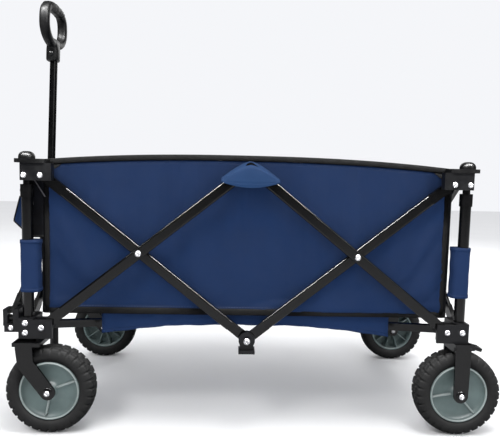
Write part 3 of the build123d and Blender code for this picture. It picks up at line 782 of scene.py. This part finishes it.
# ---- wheels -----------------------------------------------------------------
def tyre(side, end):
    """A chunky tyre: shoulder blocks in a zigzag, cut by grooves."""
    node = f"tyre_{side}_{end}"
    low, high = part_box(node)
    centre = (low + high) / 2
    radius = (high.z - low.z) / 2
    half = (high.y - low.y) / 2
    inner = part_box(f"rim_{side}_{end}")[1].z - centre.z
    steps, blocks = 300, 30
    profile = [(inner - 0.001, -half * 0.80), (inner + 0.004, -half * 0.95), (radius * 0.80, -half),
               (radius * 0.90, -half * 0.98), (radius * 0.955, -half * 0.86)]
    tread = 15
    for k in range(tread):
        s = -0.80 + 1.6 * k / (tread - 1)
        profile.append((radius - 0.0035 * s * s, half * s))
    profile += [(r, -a) for r, a in reversed(profile[:5])]
    per_block = steps // blocks

    def wobble(k, n, r, a):
        share = a / half
        phase = (k % per_block) / per_block
        lean = phase + 0.22 * (1 if share < 0 else -1) * abs(share) + (0.5 if share < 0 else 0.0)
        cut = lean % 1.0
        depth = 0.0
        if 4 <= n <= 4 + tread + 1:
            zig = 0.16 * (abs(((k / per_block) % 1.0) - 0.5) * 2 - 0.5)
            if abs(share) > 0.16 and cut < 0.22:
                depth = 0.0032 * min(1.0, (abs(share) - 0.10) * 6)
            if abs(share - zig) < 0.09 or abs(abs(share) - 0.52 - zig * 0.6) < 0.05:
                depth = 0.0036
        elif n in (3, 3 + tread + 3) and cut < 0.22:
            depth = 0.0016
        return r - depth, a

    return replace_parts(lathe(node + "_tread", centre, (0, 1, 0), profile, TYRE, f"wheel_{side}_{end}",
                             steps, wobble), node)


def wheel_disc(side, end):
    """A moulded wheel: lip, dished disc with three thin ribs outside, ten ribs inside, and hub."""
    sy = SIDES[side]
    node = f"rim_{side}_{end}"
    body = f"wheel_{side}_{end}"
    low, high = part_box(node)
    centre = (low + high) / 2
    radius = (high.z - low.z) / 2
    reach = (high.y - low.y) / 2
    out = Vector((0, sy, 0))
    bore = 0.0052
    profile = [(bore, reach), (0.0105, reach), (0.0125, reach - 0.002), (0.0135, 0.011), (0.018, 0.0085),
               (0.030, 0.0072), (0.048, 0.0078), (0.0555, 0.0095), (0.0574, 0.0150), (0.0584, 0.0192),
               (0.0600, 0.0202), (radius - 0.001, 0.0195), (radius - 0.0005, 0.0), (radius - 0.001, -0.0195),
               (0.0585, -0.0202), (0.0565, -0.0190), (0.0555, -0.004), (0.052, 0.0015), (0.040, 0.0025),
               (0.018, 0.0025), (0.0145, -0.004), (0.0130, -reach + 0.002), (0.0110, -reach), (bore, -reach)]
    disc = lathe(node + "_disc", centre, out, profile, GREY_PLASTIC, body, 96)
    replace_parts(disc, node)
    lip = [(0.0585 + 0.0017 * cos(t), 0.0192 + 0.0020 * sin(t)) for t in (2 * pi * k / 12 for k in range(13))]
    lathe(node + "_lip", centre, out, lip, LIP_PLASTIC, body, 96)
    front_turn, rear_turn = radians(20), radians(-50)
    turn = front_turn if end == "front" else rear_turn
    for k in range(3):
        t = turn + 2 * pi * k / 3
        ray = Vector((cos(t), 0, sin(t)))
        path = []
        for r, lift in ((0.012, 0.0118), (0.018, 0.0125), (0.034, 0.0118), (0.048, 0.0122), (0.0572, 0.0140)):
            path.append((centre + ray * r + out * (lift - 0.003), ray.cross(out).normalized(), out))
        sweep(f"{node}_rib_{k}", path, lambda i: oval(0.0042, 0.0075, 12, 4.0), LIP_PLASTIC, body)
    for k in range(10):
        t = 2 * pi * k / 10
        ray = Vector((cos(t), 0, sin(t)))
        path = [(centre + ray * r - out * 0.008, ray.cross(out).normalized(), out)
                for r in (0.012, 0.034, 0.0565)]
        sweep(f"{node}_back_rib_{k}", path, lambda i: oval(0.0026, 0.020, 12, 5.0), GREY_PLASTIC, body)


def axle_bolts(side, end):
    """Bolt heads on the ends of one axle."""
    body = f"caster_{side}" if end == "front" else f"lower_corner_{side}_{end}"
    low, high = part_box(f"fork_{side}_{end}")
    spin = joint_at(f"wheel_{side}_{end}_spin")
    for name, y, out in (("a", low.y, -1), ("b", high.y, 1)):
        bolt(f"axle_bolt_{side}_{end}_{name}", (spin.x, y + 0.0003 * out, spin.z), (0, out, 0), SMALL_BOLT,
             body)
        washer = [(0.0052, 0.0006), (0.0098, 0.0006), (0.0104, 0.0), (0.0104, -0.0012)]
        lathe(f"axle_washer_{side}_{end}_{name}", (spin.x, y - 0.0036 * out, spin.z), (0, out, 0), washer,
              TUBE, body, 40)


# ---- hardware -----------------------------------------------------------------
def frame_bolts():
    """Bolt heads on the brackets, crossings and hubs."""
    for side, sy in SIDES.items():
        out = (0, sy, 0)
        upper_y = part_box(f"upper_bracket_{side}_rear")[0 if sy < 0 else 1].y
        lower_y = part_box(f"lower_bracket_{side}_rear")[0 if sy < 0 else 1].y
        bar_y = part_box(f"up_bar_{side}_rear")[0 if sy < 0 else 1].y
        hub_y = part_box(f"middle_hub_{side}")[0 if sy < 0 else 1].y
        hub = joint_at("hub_near_rear")
        for end, sx in ENDS.items():
            x_in, x_out = MID_X + sx * PIVOT_X, MID_X + sx * POST_X
            corner = f"upper_corner_{side}_{end}"
            low_corner = f"lower_corner_{side}_{end}"
            bolt(f"upper_pivot_bolt_{side}_{end}", (x_in, upper_y, PIVOT_Z), out, SMALL_BOLT, corner)
            bolt(f"upper_post_bolt_{side}_{end}", (x_out, upper_y, PIVOT_Z), out, SMALL_BOLT, corner)
            bolt(f"lower_pivot_bolt_{side}_{end}", (x_in, lower_y, LOW_PIVOT_Z), out, MIDDLE_BOLT, low_corner)
            for n, dz in enumerate((-0.0105, 0.0095) if end == "front" else (0.0,)):
                bolt(f"lower_post_bolt_{side}_{end}_{n}", (x_out, lower_y, LOW_PIVOT_Z + dz), out, MIDDLE_BOLT,
                     low_corner)
            if end == "front":
                bolt(f"ear_bolt_{side}", (x_out - 0.031, lower_y - sy * 0.007, LOW_PIVOT_Z - 0.0025), out,
                     EAR_BOLT, low_corner)
            cross = joint_at(f"cross_near_{end}")
            bolt(f"cross_bolt_{side}_{end}", (cross.x, bar_y, cross.z), out, CROSS_BOLT,
                 f"up_bar_{side}_{end}")
        body = "middle_hub" if side == "near" else "far_hub"
        bolt(f"hub_bolt_{side}", (hub.x, hub_y, hub.z), out, HUB_BOLT, body)


def grip_ring():
    """The ring grip: a soft ribbed bow on a moulded collar with a push button."""
    low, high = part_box("handle_grip")
    middle = (low + high) / 2
    sleeve_axis = Vector(JOINTS["handle_extend"]["axis"]).normalized()
    side = Vector((0, 1, 0))
    front = side.cross(sleeve_axis).normalized()
    width, height = GRIP_WIDTH, GRIP_HEIGHT
    centre = Vector((middle.x, 0, high.z - height / 2))
    tube = 0.0195
    steps = 144
    path, sections = [], []
    for k in range(steps):
        t = 2 * pi * k / steps
        c, s = cos(t), sin(t)
        square = 0.66 if s > 0 else 0.94
        a = (width - tube) / 2 * abs(c) ** square * (1 if c >= 0 else -1)
        b = (height - tube) / 2 * abs(s) ** square * (1 if s >= 0 else -1)
        point = centre + side * a + sleeve_axis * b
        inward = (centre - point).normalized()
        path.append((point, inward, front))
        soft = s > 0 and abs(a) < 0.040
        rib = 0.0009 * (1 if (k % 4) < 2 else -1) if soft else 0.0
        thick = tube + (0.0022 if soft else 0.0) + rib
        sections.append(oval(thick, 0.0225 + (0.0010 if soft else 0) + rib, 20, 2.5))
    ring = sweep("grip_ring", path, lambda i: sections[i], GRIP, "pole", closed=True)
    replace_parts(ring, "handle_grip")
    bottom = centre - sleeve_axis * (height / 2)
    path, sections = [], []
    for up, wide, deep in ((0.020, 0.060, 0.021), (0.012, 0.046, 0.024), (0.004, 0.034, 0.027),
                           (-0.004, 0.030, 0.029), (-0.026, 0.029, 0.029), (-0.029, 0.026, 0.026)):
        path.append((bottom + sleeve_axis * up, side, front))
        sections.append(oval(wide, deep, 28, 3.0))
    sweep("grip_collar", path, lambda i: sections[i], BLACK_PLASTIC, "pole")
    button = [(0.0005, 0.0035), (0.0035, 0.0033), (0.0055, 0.0022), (0.0062, 0.0), (0.0062, -0.002)]
    lathe("grip_button", bottom - sleeve_axis * 0.013 + Vector((0, -0.0145, 0)), (0, -1, 0), button,
          DARK_PLASTIC, "pole", 32)


def handle_details():
    """The locking collar at the top of the lower handle tube."""
    axis = Vector(JOINTS["handle_extend"]["axis"]).normalized()
    pivot = joint_at("handle_tilt")
    top = pivot + axis * ((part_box("handle_sleeve")[1].z - pivot.z) / axis.z)
    profile = [(0.0093, 0.004), (0.0125, 0.004), (0.0138, 0.0025), (0.0138, -0.026), (0.0125, -0.028),
               (0.0113, -0.028)]
    lathe("handle_tube_collar", top, axis, profile, BLACK_PLASTIC, "handle", 40)


# ---- the CAD nodes that stay in view -------------------------------------------
def dress(node_names, look, bevel=0.0):
    """Give CAD nodes their material, and break their sharp edges."""
    for name in node_names:
        obj = frame["nodes"][name]
        obj.data.materials.clear()
        obj.data.materials.append(look)
        if bevel:
            modifier(obj, "BEVEL", width=bevel, segments=2, limit_method="ANGLE", angle_limit=radians(38))


def dress_frame():
    """Give each kind of CAD node its material."""
    tubes = ("down_bar", "up_bar", "end_bar", "inner_post", "outer_post", "floor_strut", "handle_link",
             "handle_pole", "handle_sleeve", "fork")
    for name in frame["nodes"]:
        if name.startswith(tubes):
            dress([name], TUBE, 0.0012)
        elif name.startswith(("upper_bracket", "lower_bracket", "middle_hub")):
            dress([name], DARK_PLASTIC, 0.0012)
        elif name.startswith(("post_cap", "handle_yoke", "brake_pedal")):
            dress([name], BLACK_PLASTIC, 0.0008)


# ---- studio ----------------------------------------------------------------
def studio():
    """Pale floor, soft light and the camera."""
    size = 8.0
    floor = piece("floor", [(-size, -size, -0.0005), (size, -size, -0.0005), (size, size, -0.0005),
                            (-size, size, -0.0005)], [(0, 1, 2, 3)], FLOOR_LOOK, None)
    world = bpy.data.worlds.new("studio")
    world.use_nodes = True
    world.node_tree.nodes["Background"].inputs["Color"].default_value = (0.96, 0.97, 1.0, 1)
    world.node_tree.nodes["Background"].inputs["Strength"].default_value = 0.95
    world.cycles_visibility.glossy = False
    bpy.context.scene.world = world
    for name, place, aim, power, width in (
            ("key", (-1.5, -2.2, 2.9), (0, 0, 0.3), 46, 0.9), ("fill", (2.4, -2.4, 1.5), (0, 0, 0.3), 20, 1.6),
            ("top", (0.3, -0.5, 3.2), (0, 0, 0.2), 60, 1.2), ("back", (0.6, 2.8, 1.9), (0, 0, 0.4), 30, 2.0)):
        light = bpy.data.lights.new(name, "AREA")
        light.energy = power
        light.size = width
        lamp = bpy.data.objects.new(name, light)
        lamp.location = place
        lamp.rotation_euler = (Vector(aim) - Vector(place)).to_track_quat("-Z", "Y").to_euler()
        bpy.context.scene.collection.objects.link(lamp)
    light = bpy.data.lights.new("strip", "AREA")
    light.shape = "RECTANGLE"
    light.size, light.size_y = 4.2, 0.20
    light.energy = 1000
    lamp = bpy.data.objects.new("strip", light)
    lamp.location = (0, -1.1, 2.3)
    lamp.rotation_euler = (Vector((0, -0.2, 0.4)) - lamp.location).to_track_quat("-Z", "Y").to_euler()
    lamp.visible_diffuse = False
    bpy.context.scene.collection.objects.link(lamp)
    eye = Vector((MID_X - 0.0369, -1.2615, 0.5370))
    yaw, pitch, roll = radians(2.10), radians(4.70), radians(1.354)
    ahead = Vector((sin(yaw) * cos(pitch), cos(yaw) * cos(pitch), -sin(pitch)))
    level = Vector((cos(yaw), -sin(yaw), 0))
    upright = level.cross(ahead)
    right = level * cos(roll) + upright * sin(roll)
    up = upright * cos(roll) - level * sin(roll)
    lens = bpy.data.cameras.new("camera")
    lens.sensor_fit = "HORIZONTAL"
    lens.sensor_width = 36.0
    lens.lens = 36.41
    camera = bpy.data.objects.new("camera", lens)
    camera.matrix_world = Matrix.Translation(eye) @ Matrix((right, up, -ahead)).transposed().to_4x4()
    bpy.context.scene.collection.objects.link(camera)
    bpy.context.scene.camera = camera
    bpy.context.scene.view_settings.view_transform = "Standard"


studio()
dress_frame()
tub()
for side_name in SIDES:
    for end_name in ENDS:
        tyre(side_name, end_name)
        wheel_disc(side_name, end_name)
        axle_bolts(side_name, end_name)
frame_bolts()
grip_ring()
handle_details()
